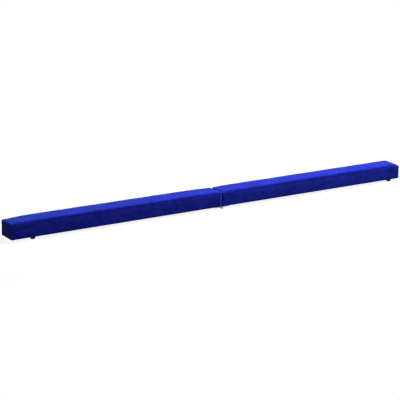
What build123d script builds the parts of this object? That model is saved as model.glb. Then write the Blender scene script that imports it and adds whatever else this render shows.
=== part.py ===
from build123d import *

import os

# Folding floor balance beam.
#
# Two upholstered sections stand end to end on four rubber feet and are joined by one butt hinge
# under the middle. Each section is a glued box of plywood decks, pine rails and blocks, padded
# with EVA foam, wrapped in a suede cover that is turned in and stapled underneath, and closed
# below by a cloth. The beam folds with its undersides together.
#
# Frame: X runs along the beam, -Y is the front, +Z is up. The origin is on the floor, under the
# middle of the beam. All lengths are in millimetres.

# ---------------------------------------------------------------- driving dimensions
beam_length = 2130.0
beam_width = 103.0
beam_height = 84.5
foot_height = 11.5
joint_gap = 5.0

cover_thickness = 1.2
hem_width = 25.0
cover_end_radius = 10.0
cover_top_radius = 8.0
cover_bottom_radius = 4.0

core_width = 91.0
core_height = 61.0
deck_thickness = 12.0
rail_width = 20.0
end_foam_thickness = 4.8
end_block_length = 140.0
centre_block_length = 60.0

dust_cover_thickness = 1.0
dust_cover_clearance = 0.3
dust_cover_corner_radius = 3.0

staple_crown = 10.0
staple_wire_width = 1.2
staple_wire_height = 0.7
staple_leg_length = 8.0
staples_along_edge = 13
staple_pitch_along = 76.0
staples_across_end = 3
staple_pitch_across = 20.0

foot_top_diameter = 28.0
foot_tip_diameter = 18.5
foot_edge_radius = 2.0
foot_row_spacing = 64.0
foot_inset = {"left": 108.0, "right": 53.0}
foot_recess_diameter = 11.0
foot_recess_depth = 6.0
washer_diameter = 10.0
washer_thickness = 1.0
foot_screw_diameter = 4.0
foot_screw_head_diameter = 8.0
foot_screw_head_height = 2.6
foot_screw_length = 30.0

hinge_length = 96.0
leaf_reach = 40.0
leaf_thickness = 2.9
leaf_corner_radius = 5.0
pin_diameter = 5.0
pin_clearance = 0.05
pin_head_diameter = 7.8
pin_head_height = 1.1
pin_head_rounding = 0.8
knuckle_count = 5
knuckle_gap = 0.4
knuckle_relief = 0.6
leaf_screw_near = 19.0
leaf_screw_far = 31.0
leaf_screw_inner_y = 12.0
leaf_screw_outer_y = 37.0
leaf_screw_diameter = 4.5
leaf_screw_head_diameter = 8.6
leaf_screw_head_sink = 0.2
leaf_screw_head_angle = 90.0
leaf_screw_length = 30.0

screw_clearance = 0.05
screw_tip_length = 4.0
screw_tip_diameter = 1.0
driver_recess_length = 4.4
driver_recess_width = 1.1
driver_recess_depth = 1.6

# ---------------------------------------------------------------- worked out
side_sign = {"left": -1, "right": 1}
half_length = beam_length / 2
section_start = joint_gap / 2
section_length = half_length - section_start
section_middle = (half_length + section_start) / 2

underside = foot_height
core_bottom = underside + cover_thickness
core_top = core_bottom + core_height
core_start = section_start + cover_thickness + end_foam_thickness
core_end = half_length - cover_thickness - end_foam_thickness
frame_bottom = core_bottom + deck_thickness
frame_height = core_height - 2 * deck_thickness
block_width = core_width - 2 * rail_width

window_width = beam_width - 2 * hem_width
window_length = section_length - 2 * hem_width

knuckle_bore_radius = pin_diameter / 2 + pin_clearance
barrel_radius = knuckle_bore_radius + leaf_thickness
hinge_axis_height = underside - barrel_radius
leaf_bottom = underside - leaf_thickness
knuckle_pitch = hinge_length / knuckle_count
foot_screw_seat = foot_recess_depth - washer_thickness

assert hinge_axis_height > barrel_radius, "the hinge barrel must clear the floor"


def foot_points(side):
    """Front and rear foot centres of a section."""
    x = side_sign[side] * (half_length - foot_inset[side])
    return {"front": (x, -foot_row_spacing / 2), "rear": (x, foot_row_spacing / 2)}


def leaf_screw_points(side):
    """Centres of a leaf's screws: the outer pair near the barrel, the inner pair far from it."""
    near = side_sign[side] * leaf_screw_near
    far = side_sign[side] * leaf_screw_far
    return [
        (near, -leaf_screw_outer_y),
        (far, -leaf_screw_inner_y),
        (far, leaf_screw_inner_y),
        (near, leaf_screw_outer_y),
    ]


def section_box(side, x_from, x_to, y_from, y_to, z_from, z_to, mode=Mode.ADD):
    """A box given by its limits, where x is measured outwards from the joint."""
    with Locations(
        (
            side_sign[side] * (x_from + x_to) / 2,
            (y_from + y_to) / 2,
            (z_from + z_to) / 2,
        )
    ):
        return Box(x_to - x_from, y_to - y_from, z_to - z_from, mode=mode)


def cut_screw_holes(side, feet=True):
    """Cuts a section's hinge screw holes, and those of its feet, through the current part."""
    height = underside + max(foot_screw_length, leaf_screw_length)
    with Locations(*[(x, y, height / 2) for x, y in leaf_screw_points(side)]):
        Cylinder(leaf_screw_diameter / 2 + screw_clearance, height, mode=Mode.SUBTRACT)
    if feet:
        with Locations(*[(x, y, height / 2) for x, y in foot_points(side).values()]):
            Cylinder(foot_screw_diameter / 2 + screw_clearance, height, mode=Mode.SUBTRACT)


def save(builder, name):
    """Labels a finished piece and writes it as a STEP file of that name."""
    builder.part.label = name
    export_step(builder.part, f"parts/{name}.step")


# ---------------------------------------------------------------- upholstery
def rounded_block(side, inset):
    """The outline of one padded section, drawn in by inset on every face."""
    with BuildPart() as block:
        with BuildSketch(Plane.XY.offset(underside + inset)):
            with Locations((side_sign[side] * section_middle, 0)):
                Rectangle(section_length - 2 * inset, beam_width - 2 * inset)
        extrude(amount=beam_height - underside - 2 * inset)
        fillet(block.edges().filter_by(Axis.Z), cover_end_radius - inset)
        fillet(block.faces().sort_by(Axis.Z)[-1].edges(), cover_top_radius - inset)
        fillet(block.faces().sort_by(Axis.Z)[0].edges(), cover_bottom_radius - inset)
    return block.part


def make_cover(side, outside, inside):
    """Suede sleeve with boxed ends, turned in all round the underside."""
    with BuildPart() as cover:
        add(outside)
        add(inside, mode=Mode.SUBTRACT)
        section_box(
            side,
            section_start + hem_width,
            half_length - hem_width,
            -window_width / 2,
            window_width / 2,
            underside - cover_thickness,
            core_bottom + cover_thickness,
            mode=Mode.SUBTRACT,
        )
        cut_screw_holes(side)
    save(cover, f"cover_{side}")


def make_foam(side, inside):
    """EVA padding: one thick pad on top, thin strips down the sides and over the ends."""
    half_core = core_width / 2
    half_inside = beam_width / 2 - cover_thickness
    inside_top = beam_height - cover_thickness
    inside_start = section_start + cover_thickness
    inside_end = half_length - cover_thickness
    pieces = {
        "top": (inside_start, inside_end, -half_inside, half_inside, core_top, inside_top),
        "front": (core_start, core_end, -half_inside, -half_core, core_bottom, core_top),
        "rear": (core_start, core_end, half_core, half_inside, core_bottom, core_top),
        "hinge_end": (inside_start, core_start, -half_inside, half_inside, core_bottom, core_top),
        "outer_end": (core_end, inside_end, -half_inside, half_inside, core_bottom, core_top),
    }
    for place, limits in pieces.items():
        with BuildPart() as foam:
            section_box(side, *limits)
            add(inside, mode=Mode.INTERSECT)
        save(foam, f"foam_{place}_{side}")


def make_dust_cover(side):
    """Thin black cloth that fills the window left by the turned-in cover."""
    with BuildPart() as cloth:
        with BuildSketch(Plane.XY.offset(core_bottom - dust_cover_thickness)):
            with Locations((side_sign[side] * section_middle, 0)):
                RectangleRounded(
                    window_length - 2 * dust_cover_clearance,
                    window_width - 2 * dust_cover_clearance,
                    dust_cover_corner_radius,
                )
        extrude(amount=dust_cover_thickness)
        cut_screw_holes(side, feet=False)
    save(cloth, f"dust_cover_{side}")


def staple_places(side):
    """Centre and turn of each staple, astride the joint between hem and cloth."""
    middle = side_sign[side] * section_middle
    for x in (i - (staples_along_edge - 1) / 2 for i in range(staples_along_edge)):
        for edge in (-1, 1):
            yield middle + x * staple_pitch_along, edge * window_width / 2, 90
    for y in (i - (staples_across_end - 1) / 2 for i in range(staples_across_end)):
        yield middle + side_sign[side] * window_length / 2, y * staple_pitch_across, 0


def make_staples(side):
    """Upholstery staples: a crown against the cloth and two legs into the bottom deck."""
    crown_bottom = underside - staple_wire_height
    with BuildPart() as staples:
        for x, y, turn in staple_places(side):
            with Locations(Location((x, y, crown_bottom), (0, 0, turn))):
                Box(
                    staple_crown,
                    staple_wire_width,
                    staple_wire_height,
                    align=(Align.CENTER, Align.CENTER, Align.MIN),
                )
                with GridLocations(staple_crown - staple_wire_height, 0, 2, 1):
                    Box(
                        staple_wire_height,
                        staple_wire_width,
                        staple_leg_length,
                        align=(Align.CENTER, Align.CENTER, Align.MIN),
                    )
    save(staples, f"staples_{side}")


# ---------------------------------------------------------------- wooden core
def make_core(side):
    """Plywood decks over and under two pine rails, with blocks between the rails."""
    half_core = core_width / 2
    frame_top = frame_bottom + frame_height
    core_middle = (core_start + core_end) / 2
    half_centre = centre_block_length / 2
    pieces = {
        "bottom_deck": (core_start, core_end, -half_core, half_core, core_bottom, frame_bottom),
        "top_deck": (core_start, core_end, -half_core, half_core, frame_top, core_top),
        "front_rail": (core_start, core_end, -half_core, -block_width / 2),
        "rear_rail": (core_start, core_end, block_width / 2, half_core),
        "hinge_block": (core_start, core_start + end_block_length),
        "centre_block": (core_middle - half_centre, core_middle + half_centre),
        "outer_block": (core_end - end_block_length, core_end),
    }
    for name, limits in pieces.items():
        if len(limits) == 2:
            limits = (*limits, -block_width / 2, block_width / 2)
        if len(limits) == 4:
            limits = (*limits, frame_bottom, frame_top)
        with BuildPart() as piece:
            section_box(side, *limits)
            cut_screw_holes(side)
        save(piece, f"{name}_{side}")


# ---------------------------------------------------------------- feet
def make_feet(side):
    """Tapered rubber feet, each with a recess for a washer and a pan-head screw."""
    for row, (x, y) in foot_points(side).items():
        with BuildPart() as foot:
            with Locations((x, y, foot_height / 2)):
                Cone(foot_tip_diameter / 2, foot_top_diameter / 2, foot_height)
            rim = foot.edges().filter_by(GeomType.CIRCLE).sort_by(Axis.Z)[0]
            fillet(rim, foot_edge_radius)
            with Locations(Location((x, y, 0), (180, 0, 0))):
                CounterBoreHole(
                    foot_screw_diameter / 2 + screw_clearance,
                    foot_recess_diameter / 2,
                    foot_recess_depth,
                    foot_height,
                )
        save(foot, f"foot_{row}_{side}")


def make_foot_washers(side):
    """Steel washers at the bottom of the feet's recesses."""
    with BuildPart() as washers:
        with BuildSketch(Plane.XY.offset(foot_screw_seat)):
            with Locations(*foot_points(side).values()):
                Circle(washer_diameter / 2)
                Circle(foot_screw_diameter / 2 + screw_clearance, mode=Mode.SUBTRACT)
        extrude(amount=washer_thickness)
    save(washers, f"foot_washers_{side}")


def cross_recess(points, face_height):
    """Cuts a cross-shaped driver recess upwards from each screw's head face."""
    with BuildSketch(Plane.XY.offset(face_height)) as cross:
        with Locations(*points):
            Rectangle(driver_recess_length, driver_recess_width)
            Rectangle(driver_recess_width, driver_recess_length)
    extrude(cross.sketch, amount=driver_recess_depth, mode=Mode.SUBTRACT)


def shank(points, diameter, z_from, z_to):
    """A plain screw shank that ends in a blunt point, at each of the points."""
    tip_start = z_to - screw_tip_length
    with Locations(*[(x, y, (z_from + tip_start) / 2) for x, y in points]):
        Cylinder(diameter / 2, tip_start - z_from)
    with Locations(*[(x, y, (tip_start + z_to) / 2) for x, y in points]):
        Cone(diameter / 2, screw_tip_diameter / 2, screw_tip_length)


def make_foot_screws(side):
    """Pan-head screws that hold the feet to the bottom deck and the rails."""
    points = list(foot_points(side).values())
    head_bottom = foot_screw_seat - foot_screw_head_height
    with BuildPart() as screws:
        with Locations(*[(x, y, (head_bottom + foot_screw_seat) / 2) for x, y in points]):
            Cylinder(foot_screw_head_diameter / 2, foot_screw_head_height)
        rims = screws.edges().filter_by(GeomType.CIRCLE).group_by(Axis.Z)[0]
        fillet(rims, foot_screw_head_height / 2)
        shank(points, foot_screw_diameter, foot_screw_seat, foot_screw_seat + foot_screw_length)
        cross_recess(points, head_bottom)
    save(screws, f"foot_screws_{side}")


# ---------------------------------------------------------------- hinge
def knuckle_centres(side):
    """Y of each knuckle of a leaf: the left leaf has the odd ones and the right leaf the even."""
    first = 0 if side == "left" else 1
    middle = (knuckle_count - 1) / 2
    return [(i - middle) * knuckle_pitch for i in range(first, knuckle_count, 2)]


def make_hinge_leaf(side):
    """Steel plate under the section, curled round the pin in knuckles."""
    other = "right" if side == "left" else "left"
    with BuildPart() as leaf:
        with BuildSketch(Plane.XY.offset(leaf_bottom)) as plate:
            with Locations((side_sign[side] * leaf_reach / 2, 0)):
                Rectangle(leaf_reach, hinge_length)
            outer = plate.vertices().group_by(Axis.X)[-1 if side == "right" else 0]
            fillet(outer, leaf_corner_radius)
            with Locations(*[(0, y) for y in knuckle_centres(other)]):
                Rectangle(
                    2 * (barrel_radius + knuckle_relief),
                    knuckle_pitch + knuckle_gap,
                    mode=Mode.SUBTRACT,
                )
        extrude(amount=leaf_thickness)
        with BuildSketch(Plane.XZ) as knuckle:
            with Locations((0, hinge_axis_height)):
                Circle(barrel_radius)
        for y in knuckle_centres(side):
            extrude(
                knuckle.sketch.moved(Location((0, y, 0))),
                amount=(knuckle_pitch - knuckle_gap) / 2,
                both=True,
            )
        with Locations(Location((0, 0, hinge_axis_height), (90, 0, 0))):
            Cylinder(knuckle_bore_radius, hinge_length, mode=Mode.SUBTRACT)
        sink = leaf_screw_head_diameter / 2 + leaf_screw_head_sink
        with Locations(
            *[Location((x, y, leaf_bottom), (180, 0, 0)) for x, y in leaf_screw_points(side)]
        ):
            CounterSinkHole(
                leaf_screw_diameter / 2 + screw_clearance,
                sink,
                leaf_thickness,
                leaf_screw_head_angle,
            )
    save(leaf, f"hinge_leaf_{side}")


def make_hinge_screws(side):
    """Countersunk screws, a little below the face of the leaf."""
    points = leaf_screw_points(side)
    head_radius = leaf_screw_head_diameter / 2 - screw_clearance
    head_height = head_radius - leaf_screw_diameter / 2
    face = leaf_bottom + leaf_screw_head_sink
    with BuildPart() as screws:
        with Locations(*[(x, y, face + head_height / 2) for x, y in points]):
            Cone(head_radius, leaf_screw_diameter / 2, head_height)
        shank(points, leaf_screw_diameter, face + head_height, face + leaf_screw_length)
        cross_recess(points, face)
    save(screws, f"hinge_screws_{side}")


def make_hinge_pin():
    """Steel pin through all the knuckles, with a low domed head at each end."""
    with BuildPart() as pin:
        with Locations(Location((0, 0, hinge_axis_height), (90, 0, 0))):
            Cylinder(pin_diameter / 2, hinge_length)
            for end in (-1, 1):
                with Locations((0, 0, end * (hinge_length + pin_head_height) / 2)):
                    Cylinder(pin_head_diameter / 2, pin_head_height)
        for outermost in (0, -1):
            rim = pin.edges().filter_by(GeomType.CIRCLE).group_by(Axis.Y)[outermost]
            fillet(rim, pin_head_rounding)
    save(pin, "hinge_pin")


# ---------------------------------------------------------------- assembly
os.makedirs("parts", exist_ok=True)
for section in side_sign:
    outside = rounded_block(section, 0)
    inside = rounded_block(section, cover_thickness)
    make_cover(section, outside, inside)
    make_foam(section, inside)
    make_dust_cover(section)
    make_staples(section)
    make_core(section)
    make_feet(section)
    make_foot_washers(section)
    make_foot_screws(section)
    make_hinge_leaf(section)
    make_hinge_screws(section)
make_hinge_pin()
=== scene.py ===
import math

import bpy
import numpy as np
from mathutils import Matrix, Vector
from mathutils.bvhtree import BVHTree


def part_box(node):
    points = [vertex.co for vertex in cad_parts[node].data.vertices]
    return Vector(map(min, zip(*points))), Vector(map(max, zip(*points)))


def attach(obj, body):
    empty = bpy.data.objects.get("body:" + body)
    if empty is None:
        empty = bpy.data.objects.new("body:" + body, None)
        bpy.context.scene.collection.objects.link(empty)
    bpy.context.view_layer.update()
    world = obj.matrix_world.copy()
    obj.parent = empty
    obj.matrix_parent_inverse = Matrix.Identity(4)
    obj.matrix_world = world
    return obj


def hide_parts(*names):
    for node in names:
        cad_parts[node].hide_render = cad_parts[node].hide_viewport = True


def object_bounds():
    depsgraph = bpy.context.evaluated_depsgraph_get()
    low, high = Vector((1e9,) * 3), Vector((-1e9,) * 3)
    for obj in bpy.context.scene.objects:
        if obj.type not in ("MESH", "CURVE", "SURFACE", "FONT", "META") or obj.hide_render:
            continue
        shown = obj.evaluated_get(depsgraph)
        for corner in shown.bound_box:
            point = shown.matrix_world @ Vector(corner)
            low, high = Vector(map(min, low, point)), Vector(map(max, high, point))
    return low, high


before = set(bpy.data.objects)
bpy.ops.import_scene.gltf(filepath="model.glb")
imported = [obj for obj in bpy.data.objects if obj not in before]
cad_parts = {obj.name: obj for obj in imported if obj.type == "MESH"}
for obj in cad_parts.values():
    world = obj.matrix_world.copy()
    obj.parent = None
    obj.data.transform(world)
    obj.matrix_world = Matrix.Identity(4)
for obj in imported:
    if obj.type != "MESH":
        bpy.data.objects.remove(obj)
cad_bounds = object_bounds()

# The looks of the folding floor balance beam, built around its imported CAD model. Lengths are in
# metres: X runs along the beam, -Y is the front, +Z is up. Every place comes from the CAD nodes.

MM = 0.001
SIDES = {"left": -1, "right": 1}     # the side of the joint that each section lies on

# Suede covers
END_RADIUS = 11.5 * MM         # rounding along X, at both ends of a section
EDGE_RADIUS = 5.5 * MM         # rounding along Y, at the long edges
TOP_RADIUS = 7 * MM            # rounding along Z, at the top
BOTTOM_RADIUS = 3 * MM
FILLET_TURNS = 5               # mesh steps in half of a rounded edge
SUEDE_THICKNESS = 1.2 * MM
SIDE_PROUD = 0.6 * MM          # how far the unswollen skin stands outside the CAD cover
JOINT_PROUD = -0.4 * MM
TOP_PROUD = 3.0 * MM
SKIN_STEP_ALONG = 8 * MM
SKIN_STEP_ACROSS = 7 * MM
HEM_WIDTH = 25 * MM            # the suede turned in on the underside
WINDOW_EDGE = 0.5 * MM         # how far into the hem a face's centre may lie and still be cut away
CROWN = 0.3 * MM               # how much higher the top's middle line lies than its edges
# How deep the padding has sunk at the top's corners, and over what length: the front and the rear
# corner at the low X end of each section, then both at its high X end
DROOP = {
    "left": (
        ((6 * MM, 40 * MM), (6.5 * MM, 110 * MM)),
        ((4 * MM, 42 * MM), (4.5 * MM, 110 * MM)),
    ),
    "right": (
        ((8 * MM, 22 * MM), (3.2 * MM, 60 * MM)),
        ((11 * MM, 34 * MM), (3.5 * MM, 30 * MM)),
    ),
}
SETTLED = {"left": 0.6 * MM, "right": 1.8 * MM}   # how much lower the top lies at the joint
TOP_SWELL = 1.0 * MM           # the most that the cloth may swell over the thick top pad
SIDE_SWELL = 0.9 * MM          # and over the thin pads on the sides and ends
HELD_HEIGHT = 0.3 * MM         # the skin below this height is stapled down
LOOSE_HEIGHT = 12 * MM         # and above this one it is free to swell
UNEVENNESS = 0.35 * MM
UNEVEN_WAVELENGTH = 55 * MM
FIRST_COVER_SEED = 11
SIM_FRAMES = 20
PRESSURE = 4.0

# Seams near both ends of each cover
SEAM_INSET = 6 * MM
SEAM_DEPTH = 0.9 * MM
SEAM_HALF_WIDTH = 0.9 * MM
LIP_HEIGHT = 0.45 * MM         # the raised lips on both sides of a seam
LIP_OFFSET = 2.1 * MM
LIP_WIDTH = 1.1 * MM
PUCKER_WAVELENGTH = 9 * MM
PUCKER_SEED = 5
PUCKER_SHARE = 0.25            # how much of the lips' height comes and goes along a seam
EDGE_HIGHLIGHT = 0.30               # how strong the painted highlight is on the rounded ends, from 0 to 1
HIGHLIGHT_LEAN = 0.55             # the painted highlight peaks where the skin's normal has this much X in it
HIGHLIGHT_SPREAD = 0.25
STITCH_OFFSET = 4.2 * MM
STITCH_PITCH = 3.6 * MM
STITCH_LENGTH = 2.6 * MM
STITCH_RADIUS = 0.33 * MM
STITCH_STATIONS = 7            # rings of points along a stitch
STITCH_SIDES = 6
RING_RAYS = 720                # rays that find a cover's outline around a seam
RING_TURNS = (-0.45, 1.45)     # where they start and end, in half turns from the rear

# Foam pads
PAD_STEP = 6 * MM
PAD_EDGE = 0.5 * MM
PAD_INSET = 2.8 * MM           # from the unswollen skin's outer face

# Underside
CLOTH_OVERLAP = 4.5 * MM       # the dust cloth's rim under the hem
CLOTH_THICKNESS = 0.3 * MM
CLOTH_STEP = 4 * MM
CLOTH_DROP = 0.22 * MM         # how far its rim hangs below the hem
CLOTH_RISE = 0.45 * MM         # how far it rises from the rim to the window's middle
TUCK_WIDTH = 14 * MM
PUCKER_DEPTH = 0.12 * MM
PRESSED_RISE = 0.25 * MM       # how far above the hem's face a foot or a leaf presses it
UNDER_LEAF = 6 * MM
STAPLE_PITCH = 76 * MM
FOOT_CLEARANCE = 3 * MM
MITRE_REACH = 20 * MM          # a mitre fold ends before the rim of the dust cloth
MITRE_HEIGHT = 0.9 * MM
MITRE_EDGE = 0.5               # where a fold starts, as a share of the rounded edges' radii
MITRE_GAP = 0.1 * MM
MITRE_THICKNESS = 0.3 * MM
MITRE_RAMP = 1.5               # mesh steps over which a fold rises from its rim
MITRE_ACROSS, MITRE_ALONG = 14, 16

# Camera
CAMERA_AIM = Vector((-0.0918, 0, 0.0448))
CAMERA_AZIMUTH = -31.97
CAMERA_ELEVATION = 14.56
CAMERA_DISTANCE = 6.014
CAMERA_LENS = 116.64

# Studio. A softbox has a place, a target, a size and a power in watts.
SOFTBOXES = {
    "overhead": ((1.5, -0.45, 3.3), (0.2, 0, 0), (1.6, 1.2), 165),
    "back": ((-0.5, 3.6, 1.2), (0, 0, 0), (2.4, 1.2), 8),
}
WHITE = (1, 1, 1, 1)
FILL_STRENGTH = 0.12
BACKDROP_STRENGTH = 1.0
FLOOR_HALF_LENGTH = 1.9
FLOOR_HALF_WIDTH = 1.1
FLOOR_GREY = (0.15, 0.15, 0.15, 1)
FLOOR_GLOW = 0.88
FLOOR_REFLECTED = 0.3          # how much of the floor's glow shows in shiny surfaces
FLOOR_FADE = (0.7, 0.98)       # where the floor fades out, as shares of its half sizes


# ------------------------------------------------------------------ meshes
def coordinates(mesh):
    """The mesh's points as an array with a row for each."""
    flat = np.zeros(len(mesh.vertices) * 3)
    mesh.vertices.foreach_get("co", flat)
    return flat.reshape(-1, 3)


def set_coordinates(mesh, points):
    """Moves the mesh's points."""
    mesh.vertices.foreach_set("co", np.ascontiguousarray(points, float).ravel())
    mesh.update()


def normals(mesh):
    """The outward directions at the mesh's points, as an array with a row for each."""
    flat = np.zeros(len(mesh.vertices) * 3)
    mesh.vertex_normals.foreach_get("vector", flat)
    return flat.reshape(-1, 3)


def add_attribute(mesh, name, values):
    """Keeps a number for each of the mesh's points."""
    attribute = mesh.attributes.new(name, "FLOAT", "POINT")
    attribute.data.foreach_set("value", np.asarray(values, np.float32))


def read_attribute(mesh, name):
    """The numbers kept by add_attribute."""
    values = np.zeros(len(mesh.vertices), np.float32)
    mesh.attributes[name].data.foreach_get("value", values)
    return values.astype(float)


def smooth_step(value):
    """0 below 0, 1 above 1, and a smooth rise between."""
    t = np.clip(value, 0, 1)
    return t * t * (3 - 2 * t)


def new_piece(name, points, faces, material):
    """A smooth-shaded mesh object in the scene."""
    mesh = bpy.data.meshes.new(name)
    mesh.from_pydata([tuple(point) for point in points], [], [tuple(face) for face in faces])
    mesh.shade_smooth()
    mesh.materials.append(material)
    piece = bpy.data.objects.new(name, mesh)
    bpy.context.scene.collection.objects.link(piece)
    return piece


def apply_modifiers(piece):
    """Makes the piece's mesh what its modifiers show, and removes them."""
    graph = bpy.context.evaluated_depsgraph_get()
    shown = bpy.data.meshes.new_from_object(
        piece.evaluated_get(graph), preserve_all_data_layers=True, depsgraph=graph
    )
    piece.modifiers.clear()
    shown.name = piece.name
    piece.data = shown


def box_grid(xs, ys, zs):
    """Points and outward quads of a box's surface, divided at the given places on its axes."""
    lines = (np.asarray(xs), np.asarray(ys), np.asarray(zs))
    last = [len(line) - 1 for line in lines]
    index = {}
    faces = []
    for axis in range(3):
        u, v = (axis + 1) % 3, (axis + 2) % 3
        for at in (0, last[axis]):
            for a in range(last[u]):
                for b in range(last[v]):
                    corners = []
                    for step_u, step_v in ((0, 0), (1, 0), (1, 1), (0, 1)):
                        key = [at, at, at]
                        key[u] = a + step_u
                        key[v] = b + step_v
                        corners.append(index.setdefault(tuple(key), len(index)))
                    faces.append(corners[::-1] if at == 0 else corners)
    keys = np.array(list(index))
    points = np.stack([line[keys[:, axis]] for axis, line in enumerate(lines)], axis=1)
    return points, faces


def places(low, high, low_radius, high_radius, step, breaks=()):
    """Places along one axis: even turns in the rounded edges, about a step apart between."""
    turns = [math.tan(math.pi / 4 * i / FILLET_TURNS) for i in range(1, FILLET_TURNS + 1)]
    stops = [low + low_radius, *sorted(breaks), high - high_radius]
    flat = [stops[0]]
    for start, end in zip(stops, stops[1:]):
        count = max(1, round((end - start) / step))
        flat.extend(np.linspace(start, end, count + 1)[1:])
    rounded_low = [stops[0] - low_radius * turn for turn in reversed(turns)]
    rounded_high = [stops[-1] + high_radius * turn for turn in turns]
    return [*rounded_low, *flat, *rounded_high]


def soft_box(low, high, low_radii, high_radii, steps, breaks=((), (), ())):
    """A box whose edges are rounded by a radius of its own for each of its six faces."""
    low, high = np.array(low), np.array(high)
    low_radii, high_radii = np.array(low_radii), np.array(high_radii)
    lines = [
        places(low[axis], high[axis], low_radii[axis], high_radii[axis], steps[axis], breaks[axis])
        for axis in range(3)
    ]
    points, faces = box_grid(*lines)
    core = np.clip(points, low + low_radii, high - high_radii)
    radii = np.where(points < core, low_radii, high_radii)
    outward = (points - core) / radii
    outward /= np.linalg.norm(outward, axis=1)[:, None]
    return core + outward * radii, faces


def ripple(points, seed, wavelength):
    """A smooth field of hills and hollows between about -1 and 1, the same on each run."""
    full_turn = 2 * math.pi
    draw = np.random.default_rng(seed)
    total = np.zeros(len(points))
    waves = 12
    for _ in range(waves):
        direction = draw.normal(size=3)
        direction *= full_turn / (wavelength * draw.uniform(0.6, 1.8)) / np.linalg.norm(direction)
        total += np.sin(points @ direction + draw.uniform(0, full_turn))
    return total / math.sqrt(waves)


# ------------------------------------------------------------------ materials
def add_node(tree, kind, inputs=None, **settings):
    """Adds a shader node. An input is a plain value, or the output that feeds it."""
    node = tree.nodes.new("ShaderNode" + kind)
    for name, value in settings.items():
        setattr(node, name, value)
    for socket, value in (inputs or {}).items():
        if isinstance(value, bpy.types.NodeSocket):
            tree.links.new(value, node.inputs[socket])
        else:
            node.inputs[socket].default_value = value
    return node


def principled(name, **sockets):
    """A new material, its node tree and its shader, with the shader's own numbers set."""
    material = bpy.data.materials.new(name)
    material.use_nodes = True
    tree = material.node_tree
    shader = tree.nodes["Principled BSDF"]
    for socket, value in sockets.items():
        shader.inputs[socket.replace("_", " ")].default_value = value
    return material, tree, shader


def stretched(tree, scale=(1, 1, 1)):
    """The piece's own coordinates in metres, stretched by scale."""
    coords = add_node(tree, "TexCoord").outputs["Object"]
    return add_node(tree, "Mapping", {"Vector": coords, "Scale": scale}).outputs["Vector"]


def noise(tree, vector, scale, detail=3.0, roughness=0.55, distortion=0.0):
    """A noise pattern's value, from 0 to 1."""
    settings = {
        "Vector": vector,
        "Scale": scale,
        "Detail": detail,
        "Roughness": roughness,
        "Distortion": distortion,
    }
    return add_node(tree, "TexNoise", settings).outputs["Fac"]


def spread(tree, value, low, high, to_low=0.0, to_high=1.0):
    """Maps low..high to to_low..to_high, and holds it there outside."""
    settings = {
        "Value": value,
        "From Min": low,
        "From Max": high,
        "To Min": to_low,
        "To Max": to_high,
    }
    return add_node(tree, "MapRange", settings).outputs["Result"]


def combine(tree, operation, first, second):
    """One maths step on two values."""
    return add_node(tree, "Math", {0: first, 1: second}, operation=operation).outputs[0]


def colour_mix(tree, factor, first, second):
    """A blend of two colours."""
    inputs = {0: factor, 6: first, 7: second}
    return add_node(tree, "Mix", inputs, data_type="RGBA").outputs[2]


def feed(shader, socket, value):
    """Links an output to one of the shader's inputs."""
    shader.id_data.links.new(value, shader.inputs[socket])


def bump(tree, height, distance, strength=1.0, below=None):
    """A normal for a height pattern, on top of the one below it."""
    inputs = {"Height": height, "Distance": distance, "Strength": strength}
    if below is not None:
        inputs["Normal"] = below
    return add_node(tree, "Bump", inputs).outputs["Normal"]


def suede_material():
    """Brushed microfibre suede: a deep blue nap that lies one way here and another way there."""
    material, tree, shader = principled(
        "suede_blue",
        Roughness=0.92,
        Specular_IOR_Level=0.1,
        Sheen_Weight=0.2,
        Sheen_Roughness=0.5,
        Sheen_Tint=(0.15, 0.6, 1.0, 1.0),
    )
    shade, light = (0.0105, 0.0130, 0.37, 1.0), (0.0235, 0.0335, 0.70, 1.0)
    # The second colour is the pale nap that the seams' lips and the rounded ends blend towards: partly
    # worn nap, partly a painted highlight.
    between_fibres, rubbed_and_highlight = (0.0070, 0.0095, 0.28, 1.0), (0.075, 0.075, 0.90, 1.0)
    along = stretched(tree, (0.55, 1.0, 1.0))
    even = stretched(tree)
    patches = noise(tree, along, 26.0, detail=3.0, roughness=0.6, distortion=1.2)
    strokes = noise(tree, stretched(tree, (0.3, 1.0, 1.0)), 150.0, detail=3.0, distortion=0.8)
    fibres = noise(tree, even, 1500.0, detail=2.0, roughness=0.7)
    patches = combine(tree, "MULTIPLY", patches, 0.62)
    nap = combine(tree, "ADD", patches, combine(tree, "MULTIPLY", strokes, 0.38))
    colour = colour_mix(tree, spread(tree, nap, 0.38, 0.62), shade, light)
    speckle = spread(tree, fibres, 0.3, 0.7, 0.0, 0.35)
    colour = colour_mix(tree, speckle, colour, between_fibres)
    # Paler nap where the attribute says: partly real wear along the seams' lips, partly a painted
    # highlight on the lips and the rounded ends.
    worn_and_highlight = add_node(tree, "Attribute", attribute_name="worn_and_highlight").outputs["Fac"]
    colour = colour_mix(tree, combine(tree, "MULTIPLY", worn_and_highlight, 0.75), colour, rubbed_and_highlight)
    feed(shader, "Base Color", colour)
    folds = bump(tree, noise(tree, along, 14.0, detail=2.0), 1.2 * MM, 0.5)
    brushed = bump(tree, strokes, 0.35 * MM, 0.6, folds)
    feed(shader, "Normal", bump(tree, fibres, 0.25 * MM, 0.8, brushed))
    return material


def thread_material():
    """Blue sewing thread, twisted."""
    tint = (0.3, 0.4, 1.0, 1.0)
    material, tree, shader = principled("sewing_thread", Roughness=0.6, Sheen_Weight=0.3, Sheen_Tint=tint)
    shade, light = (0.02, 0.04, 0.42, 1.0), (0.05, 0.09, 0.75, 1.0)
    wave = {"Vector": stretched(tree), "Scale": 700.0, "Distortion": 1.0}
    twist = add_node(tree, "TexWave", wave, bands_direction="DIAGONAL").outputs["Fac"]
    feed(shader, "Base Color", colour_mix(tree, twist, shade, light))
    feed(shader, "Normal", bump(tree, twist, 0.15 * MM))
    return material


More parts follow.
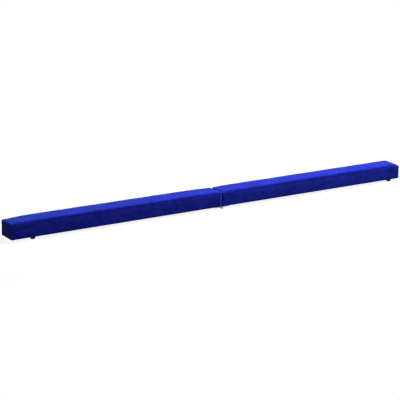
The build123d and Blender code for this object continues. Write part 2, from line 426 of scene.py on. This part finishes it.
def foam_material():
    """Closed-cell foam, with fine cells and a few larger ones."""
    material, tree, shader = principled("eva_foam", Roughness=0.85, Subsurface_Weight=0.05)
    shade, light, cell_edge = (0.56, 0.56, 0.54, 1.0), (0.68, 0.68, 0.66, 1.0), (0.4, 0.4, 0.38, 1.0)
    vector = stretched(tree)
    cells = add_node(tree, "TexVoronoi", {"Vector": vector, "Scale": 900.0}).outputs["Distance"]
    tone = noise(tree, vector, 60.0, detail=4.0)
    colour = colour_mix(tree, spread(tree, tone, 0.35, 0.65), shade, light)
    in_cell = spread(tree, cells, 0.0, 0.35, 0.4, 0.0)
    feed(shader, "Base Color", colour_mix(tree, in_cell, colour, cell_edge))
    feed(shader, "Normal", bump(tree, cells, 0.3 * MM, 0.7))
    return material


def dust_cloth_material():
    """Black spun-bonded cloth, with small bonded dots in rows and loose fibres between."""
    material, tree, shader = principled("dust_cloth", Roughness=0.8, Sheen_Weight=0.15)
    shade, light = (0.010, 0.010, 0.011, 1.0), (0.045, 0.045, 0.048, 1.0)
    vector = stretched(tree)
    rows = {"Vector": vector, "Scale": 620.0, "Randomness": 0.15}
    dots = add_node(tree, "TexVoronoi", rows, voronoi_dimensions="2D").outputs["Distance"]
    fibres = noise(tree, vector, 1100.0, detail=4.0, roughness=0.75, distortion=2.0)
    cloud = spread(tree, noise(tree, vector, 45.0, detail=3.0), 0.3, 0.7, 0.5, 1.0)
    tone = combine(tree, "MULTIPLY", spread(tree, fibres, 0.3, 0.7), cloud)
    feed(shader, "Base Color", colour_mix(tree, tone, shade, light))
    fuzz = bump(tree, fibres, 0.12 * MM, 0.6)
    feed(shader, "Normal", bump(tree, spread(tree, dots, 0.1, 0.4), 0.2 * MM, 0.7, fuzz))
    return material


def pine_material():
    """Planed pine: pale early wood and darker late wood in long distorted rings, with pores."""
    material, tree, shader = principled("pine", Roughness=0.6)
    early, late, pore = (0.74, 0.53, 0.30, 1.0), (0.50, 0.29, 0.12, 1.0), (0.36, 0.2, 0.09, 1.0)
    wave = {
        "Vector": stretched(tree, (0.06, 1.0, 1.0)),
        "Scale": 95.0,
        "Distortion": 5.0,
        "Detail": 3.0,
        "Detail Scale": 1.5,
    }
    rings = add_node(tree, "TexWave", wave, wave_type="RINGS", rings_direction="X").outputs["Fac"]
    pores = noise(tree, stretched(tree, (0.04, 1.0, 1.0)), 1400.0, detail=2.0)
    colour = colour_mix(tree, rings, early, late)
    in_pore = spread(tree, pores, 0.35, 0.6, 0.25, 0.0)
    feed(shader, "Base Color", colour_mix(tree, in_pore, colour, pore))
    feed(shader, "Normal", bump(tree, pores, 0.12 * MM, 0.5))
    return material


def plywood_material():
    """Plywood: face grain on top, and thin veneers that cross at the edges."""
    material, tree, shader = principled("plywood", Roughness=0.65)
    pale, deep = (0.60, 0.42, 0.23, 1.0), (0.44, 0.27, 0.13, 1.0)
    cross_veneer, long_veneer = (0.34, 0.20, 0.10, 1.0), (0.64, 0.47, 0.28, 1.0)
    pore = (0.26, 0.15, 0.07, 1.0)
    long_grain = stretched(tree, (0.08, 1.0, 1.0))
    grain = noise(tree, long_grain, 130.0, detail=5.0, roughness=0.65, distortion=1.5)
    face = colour_mix(tree, spread(tree, grain, 0.35, 0.65), pale, deep)
    height = add_node(tree, "SeparateXYZ", {0: stretched(tree)}).outputs["Z"]
    veneer = combine(tree, "PINGPONG", height, 1.35 * MM)
    band = spread(tree, veneer, 0.55 * MM, 0.8 * MM)
    end_grain = noise(tree, stretched(tree, (1.0, 1.0, 3.0)), 700.0, detail=3.0)
    edge = colour_mix(tree, band, cross_veneer, long_veneer)
    edge = colour_mix(tree, spread(tree, end_grain, 0.4, 0.6, 0.0, 0.4), edge, pore)
    normal = add_node(tree, "NewGeometry").outputs["Normal"]
    upright = add_node(tree, "SeparateXYZ", {0: normal}).outputs["Z"]
    on_face = spread(tree, combine(tree, "ABSOLUTE", upright, 0.0), 0.4, 0.6)
    feed(shader, "Base Color", colour_mix(tree, on_face, edge, face))
    feed(shader, "Normal", bump(tree, grain, 0.15 * MM, 0.4))
    return material


def zinc_material():
    """Zinc-plated steel: a soft cool shine with drawn lines, cloudy plating and dull spots."""
    material, tree, shader = principled("zinc_steel", Metallic=1.0, Anisotropic=0.3)
    dull, bright = (0.50, 0.51, 0.53, 1.0), (0.74, 0.74, 0.72, 1.0)
    cloud = noise(tree, stretched(tree), 160.0, detail=4.0, roughness=0.65)
    drawn = noise(tree, stretched(tree, (1.0, 0.05, 1.0)), 2200.0, detail=2.0)
    feed(shader, "Base Color", colour_mix(tree, spread(tree, cloud, 0.35, 0.65), dull, bright))
    cloudy = spread(tree, cloud, 0.3, 0.7, 0.24, 0.42)
    lines = spread(tree, drawn, 0.3, 0.7, 0.0, 0.1)
    feed(shader, "Roughness", combine(tree, "ADD", cloudy, lines))
    feed(shader, "Normal", bump(tree, drawn, 0.04 * MM, 0.6))
    return material


def staple_material():
    """Plain steel wire, a little dulled in patches."""
    material, tree, shader = principled("staple_steel", Metallic=1.0)
    dull, bright = (0.42, 0.42, 0.42, 1.0), (0.68, 0.67, 0.65, 1.0)
    cloud = noise(tree, stretched(tree), 400.0, detail=3.0)
    feed(shader, "Base Color", colour_mix(tree, cloud, dull, bright))
    feed(shader, "Roughness", spread(tree, cloud, 0.3, 0.7, 0.25, 0.45))
    return material


def rubber_material():
    """Moulded black rubber, with a fine matte texture and pale dust rubbed into the tip."""
    material, tree, shader = principled("rubber_black", Specular_IOR_Level=0.35)
    black, dusty = (0.012, 0.012, 0.013, 1.0), (0.12, 0.115, 0.105, 1.0)
    vector = stretched(tree)
    grain = noise(tree, vector, 1300.0, detail=3.0)
    cloud = noise(tree, vector, 210.0, detail=4.0, roughness=0.7)
    height = add_node(tree, "SeparateXYZ", {0: vector}).outputs["Z"]
    near_floor = spread(tree, height, 0.0, 3.0 * MM, 1.0, 0.0)
    dust = combine(tree, "MULTIPLY", near_floor, spread(tree, cloud, 0.4, 0.65, 0.0, 0.5))
    feed(shader, "Base Color", colour_mix(tree, dust, black, dusty))
    feed(shader, "Roughness", spread(tree, cloud, 0.3, 0.7, 0.5, 0.72))
    feed(shader, "Normal", bump(tree, grain, 0.08 * MM, 0.7))
    return material


# ------------------------------------------------------------------ suede covers
def settle(points, side):
    """Lets a section's top sink at its corners and towards the joint, and crowns it across."""
    low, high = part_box(f"cover_{side}")
    points = points.copy()
    share_up = smooth_step((points[:, 2] - low.z) / (high.z - low.z) * 2 - 1)
    share_rear = np.clip((points[:, 1] - low.y) / (high.y - low.y), 0, 1)
    share_out = np.abs(2 * share_rear - 1)
    spread_across = 0.7 + 0.3 * share_out**3
    near_joint = 1 - np.abs(points[:, 0]) / (high.x - low.x)
    sunk = SETTLED[side] * near_joint - CROWN * (1 - share_out**2)
    from_ends = (points[:, 0] - low.x, high.x - points[:, 0])
    for from_end, corners in zip(from_ends, DROOP[side]):
        for share, (depth, length) in zip((1 - share_rear, share_rear), corners):
            sunk += depth * share * smooth_step(1 - from_end / length) * spread_across
    points[:, 2] -= share_up * sunk
    return points


def swell(piece, held, allowed):
    """Swells a closed skin as pressed cloth, and keeps each point within its allowed move."""
    start = coordinates(piece.data)
    group = piece.vertex_groups.new(name="held")
    group.add([int(i) for i in np.flatnonzero(held)], 1.0, "REPLACE")
    cloth = piece.modifiers.new("Cloth", "CLOTH")
    cloth.point_cache.frame_end = SIM_FRAMES
    settings = cloth.settings
    settings.vertex_group_mass = group.name
    settings.use_pressure = True
    settings.uniform_pressure_force = PRESSURE
    settings.effector_weights.gravity = 0.0
    for number in range(1, SIM_FRAMES + 1):
        bpy.context.scene.frame_set(number)
    shown = piece.evaluated_get(bpy.context.evaluated_depsgraph_get()).to_mesh()
    move = coordinates(shown) - start
    piece.modifiers.clear()
    piece.vertex_groups.clear()
    bpy.context.scene.frame_set(1)
    tiny = 1e-9
    length = np.maximum(np.linalg.norm(move, axis=1), tiny)
    kept = allowed * np.tanh(length / np.maximum(allowed, tiny)) / length
    set_coordinates(piece.data, start + move * kept[:, None])


def sew_seams(piece, low):
    """Presses a seam with raised lips into the skin near both ends, and marks its paler nap: partly worn
    on the lips, partly a painted highlight on the lips and the rounded ends.
    """
    mesh = piece.data
    points = coordinates(mesh)
    from_end = read_attribute(mesh, "from_end")
    gap = from_end - SEAM_INSET
    above = smooth_step((points[:, 2] - low.z) / BOTTOM_RADIUS - 0.5)
    groove = np.exp(-((gap / SEAM_HALF_WIDTH) ** 2))
    lips = np.exp(-(((np.abs(gap) - LIP_OFFSET) / LIP_WIDTH) ** 2))
    pucker = 1 - PUCKER_SHARE + PUCKER_SHARE * ripple(points, PUCKER_SEED, PUCKER_WAVELENGTH)
    depth = (LIP_HEIGHT * lips * pucker - SEAM_DEPTH * groove) * above
    outward = normals(mesh)
    # A painted highlight on the rounded ends, strongest where the normal leans this much along X; it is
    # not real wear.
    lean = (np.abs(outward[:, 0]) - HIGHLIGHT_LEAN) / HIGHLIGHT_SPREAD
    painted_edge_highlight = EDGE_HIGHLIGHT * np.exp(-(lean**2))
    on_sides = above * (1 - 0.9 * smooth_step(outward[:, 2]))
    set_coordinates(mesh, points + outward * depth[:, None])
    # The lips' paler nap is partly real wear and partly painted highlight.
    worn_and_highlight = np.clip(lips * (0.6 + 0.4 * pucker) + painted_edge_highlight - groove, 0, 1) * on_sides
    add_attribute(mesh, "worn_and_highlight", worn_and_highlight)
    mesh.attributes.remove(mesh.attributes["from_end"])


def cut_window(piece, low, high):
    """Opens the underside inside the turned-in hem."""
    mesh = piece.data
    inside = HEM_WIDTH - WINDOW_EDGE
    for face in mesh.polygons:
        x, y, z = face.center
        within = low.x + inside < x < high.x - inside and abs(y) < high.y - inside
        face.select = within and z < low.z + MM
    kept = [tuple(face.vertices) for face in mesh.polygons if not face.select]
    used = sorted({corner for face in kept for corner in face})
    renumbered = {old: new for new, old in enumerate(used)}
    points = coordinates(mesh)[used]
    # Carries over the marks of worn nap and painted highlight for the kept points.
    worn_and_highlight = read_attribute(mesh, "worn_and_highlight")[used]
    faces = [[renumbered[corner] for corner in face] for face in kept]
    opened = bpy.data.meshes.new(piece.name)
    opened.from_pydata([tuple(point) for point in points], [], faces)
    opened.shade_smooth()
    opened.materials.append(mesh.materials[0])
    add_attribute(opened, "worn_and_highlight", worn_and_highlight)
    piece.data = opened


def padded_box(side):
    """The limits of a section's unswollen skin."""
    low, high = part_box(f"cover_{side}")
    low_x, high_x = (SIDE_PROUD, JOINT_PROUD) if side == "left" else (JOINT_PROUD, SIDE_PROUD)
    return low - Vector((low_x, SIDE_PROUD, 0)), high + Vector((high_x, SIDE_PROUD, TOP_PROUD))


def make_cover(side, seed, material):
    """The suede skin of one section: swollen over its padding, seamed, hemmed and open below."""
    low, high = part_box(f"cover_{side}")
    inner_low, inner_high = padded_box(side)
    hem = HEM_WIDTH
    points, faces = soft_box(
        inner_low,
        inner_high,
        (END_RADIUS, EDGE_RADIUS, BOTTOM_RADIUS),
        (END_RADIUS, EDGE_RADIUS, TOP_RADIUS),
        (SKIN_STEP_ALONG, SKIN_STEP_ACROSS, SKIN_STEP_ACROSS),
        ((low.x + hem, high.x - hem), (low.y + hem, high.y - hem), ()),
    )
    from_end = np.minimum(points[:, 0] - inner_low.x, inner_high.x - points[:, 0])
    points = settle(points, side)
    cover = new_piece(f"suede_cover_{side}", points, faces, material)
    add_attribute(cover.data, "from_end", from_end)
    height = points[:, 2] - low.z
    held = height < HELD_HEIGHT
    loose = smooth_step(height / LOOSE_HEIGHT)
    outward = normals(cover.data)
    uneven = UNEVENNESS * ripple(points, seed, UNEVEN_WAVELENGTH) * loose
    set_coordinates(cover.data, points + outward * uneven[:, None])
    facing_up = smooth_step(outward[:, 2])
    swell(cover, held, loose * (SIDE_SWELL + (TOP_SWELL - SIDE_SWELL) * facing_up))
    cover.modifiers.new("Subdivision", "SUBSURF").levels = 1
    apply_modifiers(cover)
    sew_seams(cover, inner_low)
    cut_window(cover, low, high)
    skin = cover.modifiers.new("Solidify", "SOLIDIFY")
    skin.thickness = SUEDE_THICKNESS
    skin.offset = -1.0
    skin.use_even_offset = True
    apply_modifiers(cover)
    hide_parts(f"cover_{side}")
    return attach(cover, f"{side}_section")


# ------------------------------------------------------------------ stitches
def ring_on(tree, x, low, high):
    """Places and normals around a cover at x, from one hem over the top to the other."""
    centre = Vector((x, (low.y + high.y) / 2, (low.z + high.z) / 2))
    reach = high.y - low.y
    start, end = RING_TURNS
    found = []
    for i in range(RING_RAYS + 1):
        turn = math.pi * (i / RING_RAYS * (end - start) + start)
        outward = Vector((0, math.cos(turn), math.sin(turn)))
        place, normal, _, _ = tree.ray_cast(centre + outward * reach, -outward)
        if place is not None and place.z > low.z + BOTTOM_RADIUS:
            found.append((np.array(place), np.array(normal)))
    return found


def evenly(ring, pitch):
    """Places, directions and normals at an even pitch along a ring of points."""
    points = np.array([place for place, _ in ring])
    facing = np.array([normal for _, normal in ring])
    along = np.concatenate([[0], np.cumsum(np.linalg.norm(np.diff(points, axis=0), axis=1))])
    count = int(along[-1] / pitch)
    at = (np.arange(count) + 0.5) * along[-1] / count
    short_way = 0.5 * MM

    def between(places, rows):
        """The rows' values at places along the ring."""
        return np.stack([np.interp(places, along, rows[:, axis]) for axis in range(3)], axis=1)

    spaced = between(at, points)
    normal = between(at, facing)
    direction = between(at + short_way, points) - spaced
    return spaced, direction / np.linalg.norm(direction, axis=1)[:, None], normal


def add_stitch(points, faces, centre, direction, normal):
    """Adds one short bowed thread whose ends dip into the suede."""
    side = np.cross(normal, direction)
    first = len(points)
    for i in range(STITCH_STATIONS):
        along = i / (STITCH_STATIONS - 1) * 2 - 1
        radius = STITCH_RADIUS * math.sqrt(max(0.05, 1 - along**4))
        lift = STITCH_RADIUS * (0.9 - 1.6 * along**2)
        middle = centre + direction * along * STITCH_LENGTH / 2 + normal * lift
        for j in range(STITCH_SIDES):
            turn = 2 * math.pi * j / STITCH_SIDES
            points.append(middle + radius * (math.cos(turn) * side + math.sin(turn) * normal))
    last = first + (STITCH_STATIONS - 1) * STITCH_SIDES
    for ring in range(first, last, STITCH_SIDES):
        for j in range(STITCH_SIDES):
            a = ring + j
            b = ring + (j + 1) % STITCH_SIDES
            faces.append((a, b, b + STITCH_SIDES, a + STITCH_SIDES))
    faces.append(tuple(first + j for j in reversed(range(STITCH_SIDES))))
    faces.append(tuple(last + j for j in range(STITCH_SIDES)))


def make_stitches(side, cover, material):
    """Matching top stitches beside both end seams of a cover."""
    low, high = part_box(f"cover_{side}")
    mesh = cover.data
    tree = BVHTree.FromPolygons(
        [vertex.co for vertex in mesh.vertices], [tuple(face.vertices) for face in mesh.polygons]
    )
    inner_low, inner_high = padded_box(side)
    inset = SEAM_INSET + STITCH_OFFSET
    points, faces = [], []
    for x in (inner_low.x + inset, inner_high.x - inset):
        for centre, direction, normal in zip(*evenly(ring_on(tree, x, low, high), STITCH_PITCH)):
            add_stitch(points, faces, centre, direction, normal)
    stitches = new_piece(f"seam_stitches_{side}", points, faces, material)
    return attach(stitches, f"{side}_section")


# ------------------------------------------------------------------ foam pads
def make_pads(side, material):
    """The foam pads of a section: their CAD blocks, trimmed to a rounded shape under the suede."""
    low, high = padded_box(side)
    low = low + Vector((PAD_INSET, PAD_INSET, 0))
    high = high - Vector((PAD_INSET, PAD_INSET, PAD_INSET))
    radii = np.array([END_RADIUS, EDGE_RADIUS, TOP_RADIUS]) - PAD_INSET
    for place in ("top", "front", "rear", "hinge_end", "outer_end"):
        node = f"foam_{place}_{side}"
        pad_low, pad_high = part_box(node)
        edges = ([PAD_EDGE] * 3,) * 2
        points, faces = soft_box(pad_low, pad_high, *edges, (PAD_STEP,) * 3)
        core = np.clip(points, np.array(low) + radii, np.array(high) - radii)
        core[:, 2] = np.minimum(points[:, 2], high.z - radii[2])
        outward = (points - core) / radii
        reach = np.maximum(np.linalg.norm(outward, axis=1), 1)[:, None]
        points = core + outward / reach * radii
        points = settle(points, side)
        pad = new_piece(f"foam_pad_{place}_{side}", points, faces, material)
        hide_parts(node)
        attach(pad, f"{side}_section")


# ------------------------------------------------------------------ underside
def cloth_heights(x, y, side, hem_face, window_low, window_high):
    """Heights of the dust cloth: under the hem at its rim, higher inside the window."""
    inside = np.minimum.reduce([x - window_low.x, window_high.x - x, y - window_low.y, window_high.y - y])
    tucked = smooth_step(inside / TUCK_WIDTH)
    middle = (window_low.x + window_high.x) / 2
    puckers = PUCKER_DEPTH * np.cos(2 * math.pi * (x - middle) / STAPLE_PITCH)
    height = hem_face - CLOTH_DROP + CLOTH_RISE * tucked + puckers * (1 - 0.5 * tucked)
    leaf_low, leaf_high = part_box(f"hinge_leaf_{side}")
    pressed = smooth_step(1 - np.maximum(leaf_low.x - x, x - leaf_high.x) / FOOT_CLEARANCE)
    for row in ("front", "rear"):
        foot_low, foot_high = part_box(f"foot_{row}_{side}")
        centre = (foot_low + foot_high) / 2
        away = np.hypot(x - centre.x, y - centre.y) - (foot_high.x - foot_low.x) / 2
        pressed = np.maximum(pressed, smooth_step(1 - away / FOOT_CLEARANCE))
    return height * (1 - pressed) + (hem_face + PRESSED_RISE) * pressed


def make_dust_cloth(side, material):
    """Thin black cloth over the window in the hem, stapled along its rim."""
    cover_low, cover_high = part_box(f"cover_{side}")
    leaf_low, leaf_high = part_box(f"hinge_leaf_{side}")
    window_low = cover_low + Vector((HEM_WIDTH, HEM_WIDTH, 0))
    window_high = cover_high - Vector((HEM_WIDTH, HEM_WIDTH, 0))
    reach = CLOTH_OVERLAP
    low_x, high_x = window_low.x - reach, window_high.x + reach
    if side == "right":
        low_x = leaf_high.x - UNDER_LEAF
    else:
        high_x = leaf_low.x + UNDER_LEAF
    low_y, high_y = window_low.y - reach, window_high.y + reach
    columns = round((high_x - low_x) / CLOTH_STEP)
    rows = round((high_y - low_y) / CLOTH_STEP)
    across = np.linspace(low_y, high_y, rows + 1)
    x, y = np.meshgrid(np.linspace(low_x, high_x, columns + 1), across, indexing="ij")
    heights = cloth_heights(x, y, side, cover_low.z, window_low, window_high)
    points = np.stack([x, y, heights], axis=-1).reshape(-1, 3)
    next_column = rows + 1
    first_corners = [i * next_column + j for i in range(columns) for j in range(rows)]
    faces = [(a, a + 1, a + next_column + 1, a + next_column) for a in first_corners]
    cloth = new_piece(f"dust_cloth_{side}", points, faces, material)
    cloth.modifiers.new("Solidify", "SOLIDIFY").thickness = CLOTH_THICKNESS
    apply_modifiers(cloth)
    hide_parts(f"dust_cover_{side}")
    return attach(cloth, f"{side}_section")


def make_corner_folds(side, material):
    """The suede folded over itself at the outer end's two corners, under the hem."""
    low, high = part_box(f"cover_{side}")
    sign = SIDES[side]
    end = high.x if side == "right" else low.x
    points, faces = [], []
    across, along = MITRE_ACROSS, MITRE_ALONG
    edge_margin, end_margin = EDGE_RADIUS * MITRE_EDGE, END_RADIUS * MITRE_EDGE
    for edge in (-1, 1):
        first = len(points)
        for i in range(across + 1):
            from_edge = edge_margin + (MITRE_REACH - MM - edge_margin) * i / across
            crease = max(end_margin, from_edge)
            for j in range(along + 1):
                share = j / along
                from_end = crease + (MITRE_REACH - crease) * share
                end_lean = max(0, 1 - from_end / END_RADIUS)
                lean = math.hypot(end_lean, max(0, 1 - from_edge / EDGE_RADIUS))
                skin = low.z + BOTTOM_RADIUS * (1 - math.sqrt(1 - lean**2))
                rise = min(1.0, share * along / MITRE_RAMP) * (1 - float(smooth_step(share * 1.4 - 0.4)))
                rim = min(1.0, i / MITRE_RAMP)
                drop = MITRE_GAP + MITRE_HEIGHT * rise * rim
                points.append((end - sign * from_end, edge * (high.y - from_edge), skin - drop))
        for i in range(across):
            for j in range(along):
                a = first + i * (along + 1) + j
                quad = (a, a + 1, a + along + 2, a + along + 1)
                faces.append(quad if sign * edge > 0 else quad[::-1])
    folds = new_piece(f"corner_folds_{side}", points, faces, material)
    thick = folds.modifiers.new("Solidify", "SOLIDIFY")
    thick.thickness = MITRE_THICKNESS
    thick.offset = 0.0
    apply_modifiers(folds)
    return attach(folds, f"{side}_section")


# ------------------------------------------------------------------ CAD parts that keep their shape
def paint(node, material):
    """Gives a CAD node a better material."""
    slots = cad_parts[node].material_slots
    for slot in slots:
        slot.material = material


def paint_cad_nodes():
    """Gives each kind of CAD part its material."""
    plywood, pine, zinc = plywood_material(), pine_material(), zinc_material()
    staple, rubber = staple_material(), rubber_material()
    kinds = {
        "top_deck": plywood,
        "bottom_deck": plywood,
        "front_rail": pine,
        "rear_rail": pine,
        "hinge_block": pine,
        "centre_block": pine,
        "outer_block": pine,
        "foot_front": rubber,
        "foot_rear": rubber,
        "foot_washers": zinc,
        "foot_screws": zinc,
        "hinge_leaf": zinc,
        "hinge_screws": zinc,
        "staples": staple,
    }
    for side in SIDES:
        for kind, material in kinds.items():
            paint(f"{kind}_{side}", material)
    paint("hinge_pin", zinc)


# ------------------------------------------------------------------ studio
def aim(thing, place, target):
    """Puts a camera or a light at a place and points it at the target."""
    thing.location = place
    thing.rotation_mode = "QUATERNION"
    thing.rotation_quaternion = (Vector(target) - Vector(place)).to_track_quat("-Z", "Y")


def make_camera():
    """The camera, in front of the beam and to its left."""
    data = bpy.data.cameras.new("camera")
    data.lens = CAMERA_LENS
    data.clip_end = 100
    camera = bpy.data.objects.new("camera", data)
    bpy.context.scene.collection.objects.link(camera)
    bpy.context.scene.camera = camera
    azimuth, elevation = math.radians(CAMERA_AZIMUTH), math.radians(CAMERA_ELEVATION)
    level = math.cos(elevation)
    back = Vector((math.sin(azimuth) * level, -math.cos(azimuth) * level, math.sin(elevation)))
    aim(camera, CAMERA_AIM + back * CAMERA_DISTANCE, CAMERA_AIM)


def make_softbox(name, place, target, size, power):
    """A rectangular light."""
    data = bpy.data.lights.new(name, "AREA")
    data.shape = "RECTANGLE"
    data.size, data.size_y = size
    data.energy = power
    light = bpy.data.objects.new(name, data)
    bpy.context.scene.collection.objects.link(light)
    aim(light, place, target)


def seen_or_reflected(tree, share_reflected):
    """1 for a ray from the camera, a share for one from a shiny surface, 0 for any other."""
    path = add_node(tree, "LightPath").outputs
    reflected = combine(tree, "MULTIPLY", path["Is Glossy Ray"], share_reflected)
    return combine(tree, "MAXIMUM", path["Is Camera Ray"], reflected)


def make_world():
    """A white backdrop to the camera and in reflections, and a dim even fill."""
    world = bpy.data.worlds.new("studio")
    bpy.context.scene.world = world
    world.use_nodes = True
    tree = world.node_tree
    fill = tree.nodes["Background"]
    fill.inputs["Color"].default_value = WHITE
    fill.inputs["Strength"].default_value = FILL_STRENGTH
    backdrop = add_node(tree, "Background", {"Color": WHITE, "Strength": BACKDROP_STRENGTH})
    seen = seen_or_reflected(tree, 1.0)
    both = add_node(tree, "MixShader", {0: seen, 1: fill.outputs[0], 2: backdrop.outputs[0]})
    tree.links.new(both.outputs[0], tree.nodes["World Output"].inputs["Surface"])


def make_floor():
    """A pale floor that fades into the backdrop, and keeps only a light shadow of the beam."""
    height = cad_bounds[0].z
    corners = [(x, y, height) for x, y in ((-1, -1), (1, -1), (1, 1), (-1, 1))]
    corners = [(x * FLOOR_HALF_LENGTH, y * FLOOR_HALF_WIDTH, z) for x, y, z in corners]
    material = bpy.data.materials.new("pale_floor")
    material.use_nodes = True
    tree = material.node_tree
    tree.nodes.clear()
    paper = add_node(tree, "BsdfDiffuse", {"Color": FLOOR_GREY}).outputs[0]
    glow = add_node(tree, "Emission", {"Color": WHITE, "Strength": FLOOR_GLOW}).outputs[0]
    clear = add_node(tree, "BsdfTransparent").outputs[0]
    lifted = add_node(tree, "AddShader", {0: paper, 1: glow}).outputs[0]
    seen = seen_or_reflected(tree, FLOOR_REFLECTED)
    shown = add_node(tree, "MixShader", {0: seen, 1: paper, 2: lifted}).outputs[0]
    place = stretched(tree, (1 / FLOOR_HALF_LENGTH, 1 / FLOOR_HALF_WIDTH, 1))
    away = add_node(tree, "VectorMath", {0: place}, operation="LENGTH").outputs["Value"]
    faded = spread(tree, away, *FLOOR_FADE)
    below = add_node(tree, "NewGeometry").outputs["Backfacing"]
    hidden = combine(tree, "MAXIMUM", faded, below)
    both = add_node(tree, "MixShader", {0: hidden, 1: shown, 2: clear})
    output = add_node(tree, "OutputMaterial")
    tree.links.new(both.outputs[0], output.inputs["Surface"])
    floor = new_piece("floor", corners, [(0, 1, 2, 3)], material)
    # It turns over with the moving half. Its back is clear, so seen from above it hides nothing of
    # the folded beam, but seen from below it hides the upper half.
    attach(floor, "right_section")


def make_studio():
    """Plain soft light, a white backdrop and a pale floor."""
    bpy.context.scene.view_settings.view_transform = "Standard"
    make_world()
    for name, (place, target, size, power) in SOFTBOXES.items():
        make_softbox(name, place, target, size, power)
    make_floor()


make_camera()
make_studio()
suede, thread = suede_material(), thread_material()
foam, dust_cloth = foam_material(), dust_cloth_material()
paint_cad_nodes()
for number, side in enumerate(SIDES):
    cover = make_cover(side, FIRST_COVER_SEED + number, suede)
    make_stitches(side, cover, thread)
    make_corner_folds(side, suede)
    make_pads(side, foam)
    make_dust_cloth(side, dust_cloth)
